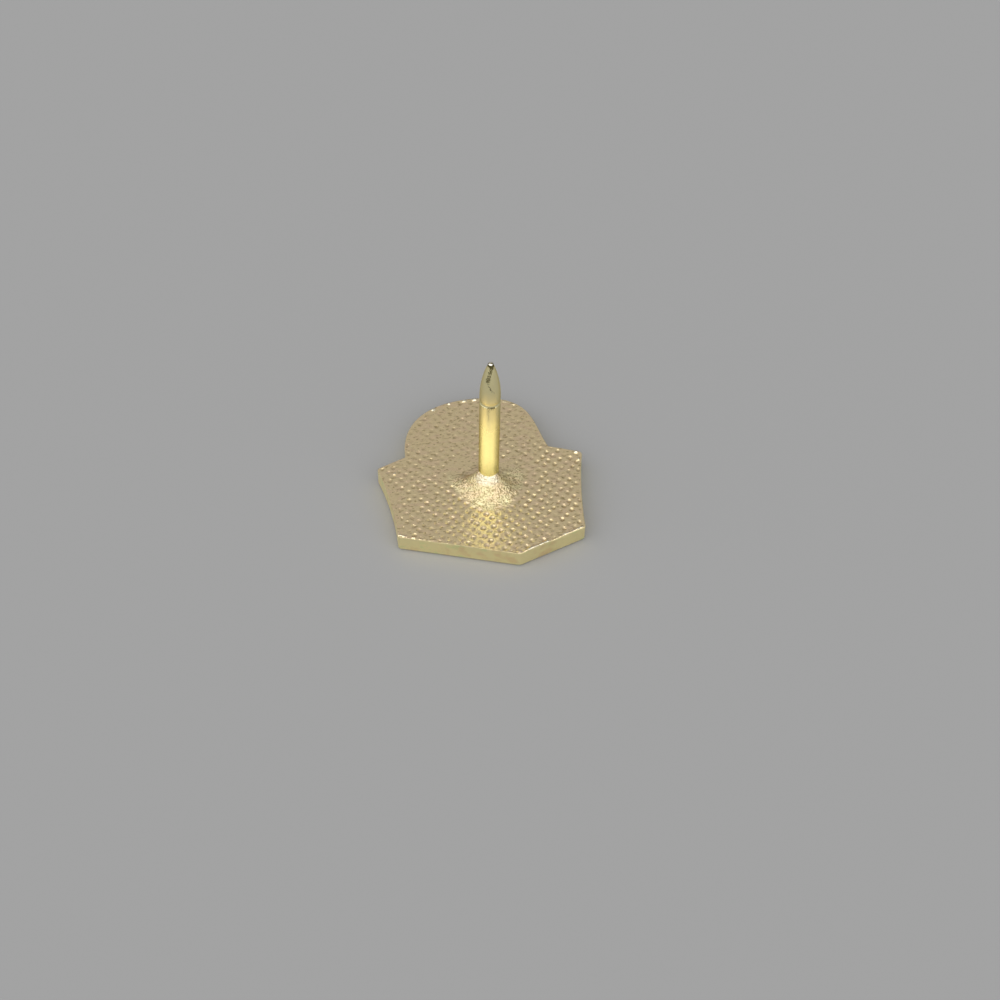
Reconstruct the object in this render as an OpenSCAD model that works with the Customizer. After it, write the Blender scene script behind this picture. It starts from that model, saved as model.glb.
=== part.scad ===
// Lapel pin in the shape of a wicker picnic basket, drawn in three-quarter view.
// It lies on its face: the front of the basket is at z = 0, the knurled back faces up and the post stands along +Z.
// The basket's own upright direction is +Y and its rim runs along X. The outline's sizes are taken from the foot
// of the basket's near corner, and the whole pin is centred over the origin at the end.

/* [Basket outline] */
// Left tip of the rim, left of the near corner
left_tip_x = 7.48; // [7.2:0.02:7.8]
// Left tip of the rim, above the near corner's foot
left_tip_y = 7.54; // [7.3:0.02:7.7]
// Right tip of the rim, right of the near corner
right_tip_x = 4.92; // [4.7:0.02:5.2]
// Right tip of the rim, above the near corner's foot
right_tip_y = 7.26; // [7.1:0.02:7.4]
// Left foot of the basket, left of the near corner
left_foot_x = 6.82; // [6.5:0.02:7.1]
// Left foot of the basket, above the near corner's foot
left_foot_y = 2.2; // [1.9:0.02:2.5]
// Right foot of the basket, right of the near corner
right_foot_x = 4.07; // [3.8:0.02:4.3]
// Right foot of the basket, above the near corner's foot
right_foot_y = 1.46; // [1.2:0.02:1.7]
// How far the left side bows in between the tip and the foot
left_bow = 0.2; // [0:0.02:0.3]
// How far the right side bows in between the tip and the foot
right_bow = 0.14; // [0:0.02:0.3]

/* [Handle outline] */
// Left foot of the handle's arch, left of the near corner
arch_left_x = 5.68; // [5.4:0.02:5.9]
// Left foot of the handle's arch, above the near corner's foot
arch_left_y = 8.25; // [8.1:0.01:8.4]
// Right foot of the handle's arch, right of the near corner
arch_right_x = 2.97; // [2.7:0.02:3.2]
// Right foot of the handle's arch, above the near corner's foot
arch_right_y = 8; // [7.8:0.01:8.1]
// Crown of the handle's arch, left of the near corner
crown_x = 1.16; // [0.9:0.02:1.4]
// Crown of the handle's arch, above the near corner's foot
crown_y = 12.48; // [11.5:0.02:13]

/* [Plate] */
// Thickness of the struck plate
plate_t = 1.2; // [1:0.05:1.6]
// Radius of the two rim tips, seen from above
tip_r = 0.25; // [0.15:0.05:0.35]
// Radius of the left and right feet, seen from above
foot_r = 0.16; // [0.1:0.02:0.3]
// Radius of the near corner's foot, seen from above
near_r = 0.5; // [0.3:0.05:0.8]
// Radius that rounds the front edge all the way round
edge_r = 0.25; // [0.15:0.05:0.3]

/* [Front relief] */
// Depth of the sunk fields of the front
relief_depth = 0.3; // [0.15:0.05:0.4]
// Width of the raised border along the basket's outline
border_w = 0.55; // [0.45:0.05:0.7]
// Width of the handle's band
handle_w = 1; // [0.8:0.05:1.2]
// Width of the raised bars along the rim and the near corner
bar_w = 0.6; // [0.4:0.05:0.8]
// Top of the near corner, left of its foot
near_top_x = 0.1; // [0:0.02:0.4]
// Top of the near corner, above its foot
near_top_y = 4.85; // [4.5:0.05:5.2]
// Far corner of the rim, left of the near corner
far_top_x = 1.75; // [1.5:0.05:2]
// Far corner of the rim, above the near corner's foot
far_top_y = 9.8; // [9.6:0.05:10]

/* [Post] */
// Post's axis, left of the near corner
post_x = 1.03; // [0.5:0.05:1.5]
// Post's axis, above the near corner's foot
post_y = 5.64; // [5:0.05:6.5]
// Diameter of the post
post_d = 1.2; // [1:0.05:1.3]
// Height of the post's tip above the plate's back
post_h = 10.05; // [8.5:0.05:11]
// Length of the bullet-shaped point, its round tip included
point_h = 2.65; // [2.4:0.05:3]
// Radius of the round tip
tip_ball_r = 0.17; // [0.12:0.01:0.2]
// Distance of the clutch groove's middle below the start of the point
groove_drop = 0.25; // [0.2:0.05:0.8]
// Width of the clutch groove
groove_w = 0.3; // [0.2:0.05:0.4]
// Depth of the clutch groove
groove_depth = 0.04; // [0.03:0.01:0.08]
// Height of the solder up the post
solder_h = 1.2; // [0.9:0.05:1.4]
// Radius of the solder where it runs out on the plate
solder_r = 2.1; // [1.8:0.05:2.4]
// How hollow the solder's flank is: 1 for a straight cone, more for a flank that is steep only at the post
solder_curve = 1.8; // [1.4:0.1:2.4]

/* [Hidden] */
$fn = 96;
gold = [0.78, 0.7, 0.42];
side_steps = 6;
corner_steps = 5;
arch_steps = 16;
edge_steps = 4;
point_steps = 8;
groove_steps = 6;
ball_steps = 5;
solder_steps = 8;
cut_over = 0.2;
post_root = 0.4;
near_foot = [0, 0];
left_tip = [-left_tip_x, left_tip_y];
right_tip = [right_tip_x, right_tip_y];
left_foot = [-left_foot_x, left_foot_y];
right_foot = [right_foot_x, right_foot_y];
arch_left = [-arch_left_x, arch_left_y];
arch_right = [arch_right_x, arch_right_y];
crown = [-crown_x, crown_y];
near_top = [-near_top_x, near_top_y];
far_top = [-far_top_x, far_top_y];
arch_rise = crown_y - arch_left_y;
// Directions and lengths in which the arch leaves its feet and its crown, as parts of its rise and half widths.
arch_left_pull = [0, 0.7 * arch_rise];
arch_right_pull = [-0.16 * arch_rise, 0.48 * arch_rise];
crown_left_pull = [-0.55 * (arch_left_x - crown_x), 0];
crown_right_pull = [0.96 * (arch_right_x + crown_x), 0];
post_r = post_d / 2;

function unit(v) = v / norm(v);
function inward(v) = [-v[1], v[0]];
function middle(list) = [for (i = [1:len(list) - 2]) list[i]];

// A shallow bowed stretch from p to q, pushed to its left by sag at its middle.
function bow(p, q, sag) =
    [for (i = [0:side_steps]) let (t = i / side_steps)
        p + t * (q - p) + 4 * sag * t * (1 - t) * inward(unit(q - p))];

// A cubic curve from p to q that leaves p along pull_p and q along pull_q.
function curve(p, pull_p, pull_q, q) =
    [for (i = [0:arch_steps]) let (t = i / arch_steps, s = 1 - t)
        s * s * s * p + 3 * s * s * t * (p + pull_p) + 3 * s * t * t * (q + pull_q) + t * t * t * q];

// The corner c between its neighbours before and after, rounded with radius r.
function rounded(before, c, after, r) =
    let (u = unit(before - c), v = unit(after - c), half = acos(u * v) / 2,
         centre = c + unit(u + v) * r / sin(half),
         start = c + u * r / tan(half) - centre,
         stop = c + v * r / tan(half) - centre,
         from = atan2(start[1], start[0]),
         sweep = (atan2(stop[1], stop[0]) - from + 540) % 360 - 180)
    [for (i = [0:corner_steps]) let (a = from + sweep * i / corner_steps) centre + r * [cos(a), sin(a)]];

left_side = bow(left_tip, left_foot, left_bow);
right_side = bow(right_foot, right_tip, right_bow);
arch_right_half = curve(arch_right, arch_right_pull, crown_right_pull, crown);
arch_left_half = curve(crown, crown_left_pull, arch_left_pull, arch_left);
arch = concat(arch_right_half, middle(arch_left_half), [arch_left]);

// The outline, counter-clockwise from the left tip, with its outer corners rounded by extra more than on the pin.
function outline(extra) = concat(
    rounded(arch_left, left_tip, left_side[1], tip_r + extra),
    middle(left_side),
    rounded(left_side[side_steps - 1], left_foot, near_foot, foot_r + extra),
    rounded(left_foot, near_foot, right_foot, near_r + extra),
    rounded(near_foot, right_foot, right_side[1], foot_r + extra),
    middle(right_side),
    rounded(right_side[side_steps - 1], right_tip, arch_right, tip_r + extra),
    arch);

// Every point of a counter-clockwise outline moved in by d, square to the outline.
function moved_in(points, d) =
    let (n = len(points))
    [for (i = [0:n - 1])
        let (a = inward(unit(points[i] - points[(i + n - 1) % n])),
             b = inward(unit(points[(i + 1) % n] - points[i])),
             m = unit(a + b))
        points[i] + m * d / (m * a)];

edge = outline(0);
box_min = [min([for (p = edge) p[0]]), min([for (p = edge) p[1]])];
box_max = [max([for (p = edge) p[0]]), max([for (p = edge) p[1]])];
box_centre = (box_min + box_max) / 2;
post_at = [-post_x, post_y];

// Section of the ring that is cut away to round the front edge: how far in from the outline, and how high.
edge_section = concat(
    [for (i = [0:edge_steps]) let (a = 90 * i / edge_steps) [edge_r * (1 - cos(a)), edge_r * (1 - sin(a))]],
    [[edge_r, -cut_over], [-cut_over, -cut_over], [-cut_over, edge_r]]);

// The edge section carried once round the outline, closed on itself.
module edge_ring() {
    n = len(edge);
    m = len(edge_section);
    points = [for (s = edge_section) for (p = moved_in(outline(max(s[0], 0)), s[0])) [p[0], p[1], s[1]]];
    faces = [for (k = [0:m - 1]) for (i = [0:n - 1]) let (j = (i + 1) % n, next = (k + 1) % m)
        [k * n + i, next * n + i, next * n + j, k * n + j]];
    polyhedron(points, faces);
}

module blank() {
    difference() {
        linear_extrude(plate_t) polygon(edge);
        edge_ring();
    }
}

module bar(p, q) {
    reach = norm(q - p);
    turn = atan2(q[1] - p[1], q[0] - p[0]);
    translate([p[0], p[1], -cut_over]) rotate(turn) translate([-bar_w / 2, -bar_w / 2, 0])
        cube([reach + bar_w, bar_w, 2 * cut_over + relief_depth]);
}

// A field of the front between its own corners, kept inside a limiting outline.
module sunk_field(corners, limit) {
    translate([0, 0, -cut_over]) intersection() {
        linear_extrude(cut_over + relief_depth) polygon(limit);
        linear_extrude(cut_over + relief_depth) polygon(corners);
    }
}

// The fields between the rim, the near corner, the feet and the handle, sunk into the front.
module front_fields() {
    basket_limit = moved_in(outline(border_w), border_w);
    handle_feet = [[-arch_left_x, near_top_y], [arch_right_x, near_top_y]];
    handle_limit = moved_in(concat(arch, handle_feet), handle_w);
    above_rim = [[right_tip_x, crown_y], [-left_tip_x, crown_y]];
    difference() {
        union() {
            sunk_field([left_tip, left_foot, near_foot, near_top], basket_limit);
            sunk_field([near_top, near_foot, right_foot, right_tip], basket_limit);
            sunk_field([left_tip, near_top, right_tip, far_top], basket_limit);
            sunk_field(concat([left_tip, far_top, right_tip], above_rim), handle_limit);
        }
        bar(left_tip, near_top);
        bar(near_top, right_tip);
        bar(right_tip, far_top);
        bar(far_top, left_tip);
        bar(near_top, near_foot);
    }
}

module solder() {
    flank = [for (i = [0:solder_steps]) let (t = i / solder_steps)
        [solder_r + t * (post_r - solder_r), solder_h * pow(t, solder_curve)]];
    rotate_extrude() polygon(concat([[0, -post_root], [solder_r, -post_root]], flank, [[0, solder_h]]));
}

module post() {
    shaft_top = post_h - point_h;
    ball_z = post_h - tip_ball_r;
    point_run = ball_z - shaft_top;
    // The arc of the point: it leaves the shaft straight up and narrows to the round tip.
    arc_r = (point_run * point_run + (post_r - tip_ball_r) * (post_r - tip_ball_r)) / 2 / (post_r - tip_ball_r);
    narrowing = [for (i = [0:point_steps]) let (z = point_run * i / point_steps)
        [post_r - arc_r + sqrt(arc_r * arc_r - z * z), shaft_top + z]];
    ball = [for (i = [1:ball_steps]) let (a = 90 * i / ball_steps)
        [tip_ball_r * cos(a), ball_z + tip_ball_r * sin(a)]];
    groove = [for (i = [0:groove_steps]) let (a = 180 * i / groove_steps)
        [post_r - groove_depth * sin(a), shaft_top - groove_drop - groove_w / 2 * cos(a)]];
    rotate_extrude() polygon(concat([[0, -post_root], [post_r, -post_root]], groove, narrowing, ball));
}

module basket_pin() {
    color(gold) translate([-box_centre[0], -box_centre[1], 0]) {
        difference() {
            blank();
            front_fields();
        }
        translate([post_at[0], post_at[1], plate_t]) {
            solder();
            post();
        }
    }
}

basket_pin();
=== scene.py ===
"""Basket brooch: a small gold-plated lapel pin lying on its face, so that its knurled back and its post show.

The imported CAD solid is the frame. Two closed meshes stand for it: the struck plate with the solder on it, and
the post. Both are worked out from the same sizes as the CAD part. Sizes in the classes are millimetres in the
part's own frame, and the finished meshes are metres.
"""

import logging
import math
from dataclasses import astuple, dataclass, field
from enum import Enum

import bpy
import numpy as np
from mathutils import Matrix, Vector
from mathutils.geometry import delaunay_2d_cdt


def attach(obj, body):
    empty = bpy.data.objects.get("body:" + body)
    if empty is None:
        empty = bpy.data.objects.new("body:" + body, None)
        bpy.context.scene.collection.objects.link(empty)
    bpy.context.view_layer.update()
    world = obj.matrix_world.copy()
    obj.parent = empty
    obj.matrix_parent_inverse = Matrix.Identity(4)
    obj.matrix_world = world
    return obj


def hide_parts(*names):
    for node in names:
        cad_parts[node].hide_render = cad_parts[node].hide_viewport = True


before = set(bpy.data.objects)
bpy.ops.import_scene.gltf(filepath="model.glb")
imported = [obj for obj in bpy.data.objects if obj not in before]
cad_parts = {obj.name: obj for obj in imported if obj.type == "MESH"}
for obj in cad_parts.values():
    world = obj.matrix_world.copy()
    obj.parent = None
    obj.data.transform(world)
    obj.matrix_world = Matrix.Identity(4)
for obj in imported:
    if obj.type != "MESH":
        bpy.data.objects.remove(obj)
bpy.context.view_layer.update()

Array = np.ndarray
Point = tuple[float, float]
Span = tuple[float, float]
Triple = tuple[float, float, float]
Colour = tuple[float, float, float, float]

# A millimetre in metres, and a length in mm that keeps a division from failing.
MM = 0.001
TINY = 1e-9
ROOT = "root"
NODE = "basket_pin"
# The post's axis in the part's frame, a squeeze that draws noise out along X, and the marks below the back,
# which carry no painted shade or highlight.
POST_AT: Point = (0.24827, -0.61437)
ACROSS: Triple = (0.5, 1.0, 1.0)
WALL_MARKS = {"pit": 0.0, "solder": 0.0, "white": 0.0, "wall": 1.0}
log = logging.getLogger("basket_brooch")


def ease(t: Array) -> Array:
    """Goes smoothly from 0 to 1: 3t² - 2t³, with t held between 0 and 1."""
    t = np.clip(t, 0.0, 1.0)
    return t * t * (3.0 - 2.0 * t)


@dataclass(frozen=True)
class Ramp:
    """A smooth change from 0 to 1: where it starts, and how far on it is done, negative for downwards."""

    start: float
    over: float

    def at(self, value: Array) -> Array:
        """Share of the change at each value."""
        return ease((value - self.start) / self.over)


def at_least(least: float, share: "Array | Wire") -> "Array | Wire":
    """Goes from the least value to 1 as the share goes from 0 to 1."""
    return least + (1.0 - least) * share


def edged(inside: Array, fade: float) -> Array:
    """A soft edge: goes smoothly from 0 outside to 1 inside, across a band as wide as the fade."""
    return ease(inside / fade + 0.5)


def turned(points: Array, degrees: float) -> Array:
    """Points in the plane, turned counter-clockwise about the origin."""
    a = math.radians(degrees)
    return points @ np.array([[math.cos(a), math.sin(a)], [-math.sin(a), math.cos(a)]])


def inside_distance(points: Array, loop: Array) -> Array:
    """Distance of each point from a closed loop, positive inside and negative outside.

    The distance is the least of those to the loop's straight stretches. A point is inside if a line from it
    towards +X crosses the loop an odd number of times.

    Args:
        points: Points in the plane, one a row.
        loop: The loop's corners in order, one a row.

    Returns:
        One signed distance for each point.
    """
    block_rows = 2000
    start, stop = loop, np.roll(loop, -1, axis=0)
    reach = stop - start
    length_2 = np.maximum((reach**2).sum(1), TINY**2)
    found = []
    for block in np.array_split(points, max(1, len(points) // block_rows)):
        offset = block[:, None, :] - start[None]
        t = np.clip((offset * reach).sum(2) / length_2, 0.0, 1.0)
        gap_2 = ((offset - t[..., None] * reach) ** 2).sum(2).min(1)
        spans = (start[None, :, 1] > block[:, None, 1]) != (stop[None, :, 1] > block[:, None, 1])
        rise = np.where(reach[:, 1] == 0.0, 1.0, reach[:, 1])
        crossing = start[:, 0] + (block[:, None, 1] - start[:, 1]) * reach[:, 0] / rise
        inside = (spans & (block[:, None, 0] < crossing)).sum(1) % 2 == 1
        found.append(np.where(inside, 1.0, -1.0) * np.sqrt(gap_2))
    return np.concatenate(found)


def line_distance(points: Array, a: Point, b: Point) -> Array:
    """Distance of each point from the straight stretch between a and b.

    Args:
        points: Points in the plane, one a row.
        a: One end of the stretch.
        b: Its other end.

    Returns:
        One distance for each point.
    """
    start, reach = np.array(a), np.array(b) - np.array(a)
    t = np.clip((points - start) @ reach / max(float(reach @ reach), TINY**2), 0.0, 1.0)
    return np.linalg.norm(points - start - t[:, None] * reach, axis=1)


@dataclass(frozen=True)
class Grain:
    """Smooth seeded unevenness: heights between -1 and 1 on a square grid, joined by eased steps."""

    size: float
    seed: int
    cells: int = 96

    def at(self, x: Array, y: Array) -> Array:
        """Height at each place: the four nearest grid heights, mixed by eased shares.

        Args:
            x: First coordinate, mm.
            y: Second coordinate, mm.

        Returns:
            The unevenness, between -1 and 1.
        """
        heights = np.random.default_rng(self.seed).uniform(-1.0, 1.0, (self.cells, self.cells))
        u, v = np.asarray(x) / self.size, np.asarray(y) / self.size
        i, j = np.floor(u).astype(int), np.floor(v).astype(int)
        a, b = ease(u - i), ease(v - j)
        i0, i1, j0, j1 = i % self.cells, (i + 1) % self.cells, j % self.cells, (j + 1) % self.cells
        low = heights[i0, j0] * (1 - a) + heights[i1, j0] * a
        high = heights[i0, j1] * (1 - a) + heights[i1, j1] * a
        return low * (1 - b) + high * b


class Field(Enum):
    """The sunk fields of the front, by the part of the basket that each one shows."""

    LEFT = "left face"
    RIGHT = "right face"
    LID = "lid"
    OPENING = "opening under the handle"


@dataclass(frozen=True)
class Outline:
    """The basket's outline, from the foot of its near corner, with +Y up the basket and X along its rim."""

    left_tip: Point = (-7.48, 7.54)
    right_tip: Point = (4.92, 7.26)
    left_foot: Point = (-6.82, 2.2)
    right_foot: Point = (4.07, 1.46)
    near_foot: Point = (0.0, 0.0)
    arch_left: Point = (-5.68, 8.25)
    arch_right: Point = (2.97, 8.0)
    crown: Point = (-1.16, 12.48)
    near_top: Point = (-0.1, 4.85)
    far_top: Point = (-1.75, 9.8)
    left_bow: float = 0.2
    right_bow: float = 0.14
    tip_r: float = 0.25
    foot_r: float = 0.16
    near_r: float = 0.5
    arch_rise: float = 4.23
    arch_left_pull: Point = (0.0, 0.7)
    arch_right_pull: Point = (-0.16, 0.48)
    crown_left_pull: float = -0.55
    crown_right_pull: float = 0.96
    box_centre: Point = (-1.27827, 6.25437)
    spacing: float = 0.075
    corner_steps: int = 8
    bow_points: int = 7
    bow_clear: float = 0.11
    arch_density: float = 1.15

    def _count(self, p: Point, q: Point) -> int:
        """How many steps a stretch from p to q takes at the outline's spacing."""
        return max(2, math.ceil(math.dist(p, q) / self.spacing))

    def _bow(self, p: Point, q: Point, sag: float, t: Array) -> Array:
        """A shallow bow: the straight line from p to q, pushed to its left by 4 sag t (1 - t).

        Args:
            p: The bow's start.
            q: Its end.
            sag: How far its middle is pushed.
            t: Shares of the way from p to q.

        Returns:
            The bow's points, one a row.
        """
        a, b = np.array(p), np.array(q)
        along = (b - a) / np.linalg.norm(b - a)
        left = np.array([-along[1], along[0]])
        t = t[:, None]
        return a + t * (b - a) + 4.0 * sag * t * (1.0 - t) * left

    def _curve(self, p: Point, pull_p: Array, pull_q: Array, q: Point, t: Array) -> Array:
        """A cubic curve from p to q that leaves p along pull_p and q along pull_q.

        Args:
            p: The curve's start.
            pull_p: From p to its control point.
            pull_q: From q to its control point.
            q: The curve's end.
            t: Shares of the way from p to q.

        Returns:
            The curve's points, one a row.
        """
        a, b = np.array(p), np.array(q)
        t = t[:, None]
        s = 1.0 - t
        return s**3 * a + 3 * s * s * t * (a + pull_p) + 3 * s * t * t * (b + pull_q) + t**3 * b

    def _rounded(self, before: Array, corner: Point, after: Array, r: float) -> Array:
        """A rounded corner: the arc of radius r that touches the lines to the points before and after it.

        Args:
            before: A point on the line that comes to the corner.
            corner: The corner.
            after: A point on the line that leaves it.
            r: The arc's radius.

        Returns:
            The arc's points, one a row.
        """
        c = np.array(corner)
        u = (before - c) / np.linalg.norm(before - c)
        v = (after - c) / np.linalg.norm(after - c)
        half = math.acos(float(u @ v)) / 2.0
        middle = (u + v) / np.linalg.norm(u + v)
        centre = c + middle * r / math.sin(half)
        first = c + u * r / math.tan(half) - centre
        last = c + v * r / math.tan(half) - centre
        begin = math.atan2(first[1], first[0])
        sweep = (math.atan2(last[1], last[0]) - begin + 3.0 * math.pi) % (2.0 * math.pi) - math.pi
        a = begin + sweep * np.linspace(0.0, 1.0, self.corner_steps + 1)
        return centre + r * np.stack([np.cos(a), np.sin(a)], 1)

    def arch(self) -> Array:
        """The handle's arch from its right foot over the crown to its left foot: two cubic curves.

        Returns:
            The arch's points, one a row.
        """
        rise = self.arch_rise
        right = np.array(self.arch_right_pull) * rise
        left = np.array(self.arch_left_pull) * rise
        over_right = np.array([self.crown_right_pull * (self.arch_right[0] - self.crown[0]), 0.0])
        over_left = np.array([self.crown_left_pull * (self.crown[0] - self.arch_left[0]), 0.0])
        steps = int(self._count(self.arch_right, self.crown) * self.arch_density)
        t = np.linspace(0.0, 1.0, steps + 1)
        first = self._curve(self.arch_right, right, over_right, self.crown, t)
        second = self._curve(self.crown, over_left, left, self.arch_left, t)
        return np.concatenate([first, second[1:]])

    def loop(self, extra: float = 0.0) -> Array:
        """The closed outline, counter-clockwise from the left tip, in the part's frame.

        Every call gives the same number of points in the same order, so loops of different insets match.

        Args:
            extra: How much more than on the pin the outer corners are rounded.

        Returns:
            The loop's points, one a row.
        """
        share = np.linspace(0.0, 1.0, self.bow_points)
        left_side = self._bow(self.left_tip, self.left_foot, self.left_bow, share)
        right_side = self._bow(self.right_foot, self.right_tip, self.right_bow, share)
        arch = self.arch()
        arch_left, arch_right = np.array(self.arch_left), np.array(self.arch_right)
        left, near, right = np.array(self.left_foot), np.array(self.near_foot), np.array(self.right_foot)
        corners = [
            self._rounded(arch_left, self.left_tip, left_side[1], self.tip_r + extra),
            self._rounded(left_side[-2], self.left_foot, near, self.foot_r + extra),
            self._rounded(left, self.near_foot, right, self.near_r + extra),
            self._rounded(near, self.right_foot, right_side[1], self.foot_r + extra),
            self._rounded(right_side[-2], self.right_tip, arch_right, self.tip_r + extra),
        ]
        sides = [
            self._side(self.left_tip, self.left_foot, self.left_bow),
            self._straight(corners[1][-1], corners[2][0], self._count(self.left_foot, self.near_foot)),
            self._straight(corners[2][-1], corners[3][0], self._count(self.near_foot, self.right_foot)),
            self._side(self.right_foot, self.right_tip, self.right_bow),
            self._straight(corners[4][-1], arch[0], self._count(self.right_tip, self.arch_right)),
        ]
        closing = self._straight(arch[-1], corners[0][0], self._count(self.arch_left, self.left_tip))
        order = [part for pair in zip(corners, sides) for part in pair]
        return np.concatenate([*order, arch, closing]) - np.array(self.box_centre)

    def _side(self, p: Point, q: Point, sag: float) -> Array:
        """A bowed side without its ends, where the corners' arcs take over."""
        t = np.linspace(self.bow_clear, 1.0 - self.bow_clear, self._count(p, q))
        return self._bow(p, q, sag, t)

    def _straight(self, p: Array, q: Array, steps: int) -> Array:
        """The points between p and q, both left out."""
        t = np.linspace(0.0, 1.0, steps + 1)[1:-1, None]
        return p + t * (q - p)

    def inset(self, distance: float, extra: float = 0.0) -> Array:
        """The loop moved in square to itself, each point along the bisector of its two stretches.

        Args:
            distance: How far in the loop is moved.
            extra: How much more than on the pin the outer corners are rounded.

        Returns:
            The moved points, one a row.
        """
        points = self.loop(extra)
        ahead = np.roll(points, -1, axis=0) - points
        ahead /= np.linalg.norm(ahead, axis=1)[:, None]
        inward = np.stack([-ahead[:, 1], ahead[:, 0]], 1)
        before = np.roll(inward, 1, axis=0)
        middle = inward + before
        middle /= np.linalg.norm(middle, axis=1)[:, None]
        return points + middle * distance / (middle * before).sum(1)[:, None]

    def place(self, p: Point) -> Point:
        """A point of the outline in the part's frame."""
        return (p[0] - self.box_centre[0], p[1] - self.box_centre[1])


@dataclass(frozen=True)
class Infill:
    """A flat sheet inside a closed loop: square cells of a turned lattice, with triangles out to the loop."""

    loop: Array
    along: Array
    across: Array
    turn: float
    clear: float
    weld: float = 1e-7

    def build(self) -> tuple[Array, Array, Array, Array]:
        """Keeps the lattice cells that lie inside by the clearance and fills the rest with triangles.

        Returns:
            The lattice points, their distances inside the loop, the cells as rows of four, and the triangles
            as rows of three. A number in a triangle past the last lattice point counts on into the loop's
            points.
        """
        u, v = np.meshgrid(self.along, self.across, indexing="ij")
        every = turned(np.stack([u, v], -1).reshape(-1, 2), self.turn)
        low, high = self.loop.min(0), self.loop.max(0)
        near = ((every > low) & (every < high)).all(1)
        depth = np.full(len(every), -1.0)
        depth[near] = inside_distance(every[near], self.loop)
        held = (depth > self.clear).reshape(u.shape)
        index = np.full(u.shape, -1)
        index[held] = np.arange(held.sum())
        cells = held[:-1, :-1] & held[1:, :-1] & held[1:, 1:] & held[:-1, 1:]
        quads = np.stack([index[:-1, :-1], index[1:, :-1], index[1:, 1:], index[:-1, 1:]], -1)[cells]
        points = every[held.reshape(-1)]
        triangles = self._border(points, index, cells)
        return points, depth[held.reshape(-1)], quads, triangles

    def _border(self, points: Array, index: Array, cells: Array) -> Array:
        """Triangles between the outermost cells and the loop.

        Args:
            points: The lattice points inside the loop.
            index: For each place of the lattice, its point's number or -1.
            cells: For each cell of the lattice, whether it is kept.

        Returns:
            The triangles, counter-clockwise, one a row.
        """
        padded = np.pad(cells, 1)
        rows = padded[1:-1, 1:] != padded[1:-1, :-1]
        columns = padded[1:, 1:-1] != padded[:-1, 1:-1]
        edges = np.concatenate(
            [
                np.stack([index[:-1, :], index[1:, :]], -1)[rows],
                np.stack([index[:, :-1], index[:, 1:]], -1)[columns],
            ]
        )
        touched = padded[1:, 1:] | padded[:-1, 1:] | padded[1:, :-1] | padded[:-1, :-1]
        lone = index[~touched & (index >= 0)]
        used = np.unique(np.concatenate([edges.ravel(), lone]))
        back = np.full(len(points), -1)
        back[used] = np.arange(len(used))
        count = len(self.loop)
        ring = np.stack([np.arange(count), (np.arange(count) + 1) % count], 1) + len(used)
        flat = np.concatenate([points[used], self.loop])
        wanted = np.concatenate([back[edges], ring])
        corners_in = [Vector(p) for p in flat.tolist()]
        edges_in = [tuple(e) for e in wanted.tolist()]
        made = delaunay_2d_cdt(corners_in, edges_in, [], 0, self.weld, True)
        source = np.array([ids[0] for ids in made[3]])
        corners = np.array([list(face) for face in made[2]])
        where = np.array([v[:] for v in made[0]])[corners]
        middle = where.mean(1)
        plane = turned(middle, -self.turn)
        i = np.clip(np.searchsorted(self.along, plane[:, 0]) - 1, 0, cells.shape[0] - 1)
        j = np.clip(np.searchsorted(self.across, plane[:, 1]) - 1, 0, cells.shape[1] - 1)
        wanted_face = (inside_distance(middle, self.loop) > 0.0) & ~cells[i, j]
        side_a, side_b = where[:, 1] - where[:, 0], where[:, 2] - where[:, 0]
        area = side_a[:, 0] * side_b[:, 1] - side_a[:, 1] * side_b[:, 0]
        corners = np.where(area[:, None] < 0.0, corners[:, ::-1], corners)[wanted_face]
        numbers = np.concatenate([used, np.arange(count) + len(points)])
        return numbers[source[corners]]


@dataclass
class MeshMaker:
    """Gathers vertices and faces, in millimetres, and makes one smooth-shaded object of them, in metres."""

    name: str
    vertices: list[Array] = field(default_factory=list)
    quads: list[Array] = field(default_factory=list)
    triangles: list[Array] = field(default_factory=list)
    marks: dict[str, list[Array]] = field(default_factory=dict)
    count: int = 0

    def add(self, points: Array, **marks: Array) -> int:
        """Adds vertices with their marks and gives the number of the first one.

        Args:
            points: The vertices, one a row.
            **marks: For each named attribute, one value a vertex.

        Returns:
            The number of the first new vertex.
        """
        first = self.count
        self.vertices.append(points)
        self.count += len(points)
        for name, values in marks.items():
            self.marks.setdefault(name, []).append(np.broadcast_to(values, len(points)))
        return first

    def build(self) -> bpy.types.Object:
        """Makes the mesh object, with its named attributes on the vertices.

        Returns:
            The object, linked to the scene.
        """
        points = np.concatenate(self.vertices) * MM
        quads = np.concatenate(self.quads) if self.quads else np.zeros((0, 4), int)
        triangles = np.concatenate(self.triangles) if self.triangles else np.zeros((0, 3), int)
        sizes = np.concatenate([np.full(len(quads), 4), np.full(len(triangles), 3)])
        starts = np.concatenate([[0], np.cumsum(sizes)[:-1]])
        mesh = bpy.data.meshes.new(self.name)
        mesh.vertices.add(len(points))
        mesh.vertices.foreach_set("co", points.astype(np.float32).ravel())
        mesh.loops.add(int(sizes.sum()))
        corners = np.concatenate([quads.ravel(), triangles.ravel()])
        mesh.loops.foreach_set("vertex_index", corners.astype(np.int32))
        mesh.polygons.add(len(sizes))
        mesh.polygons.foreach_set("loop_start", starts.astype(np.int32))
        mesh.update(calc_edges=True)
        mesh.polygons.foreach_set("use_smooth", np.ones(len(sizes), bool))
        for name, parts in self.marks.items():
            layer = mesh.attributes.new(name, "FLOAT", "POINT")
            layer.data.foreach_set("value", np.concatenate(parts).astype(np.float32))
        mesh.update()
        piece = bpy.data.objects.new(self.name, mesh)
        bpy.context.scene.collection.objects.link(piece)
        return piece


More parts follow.
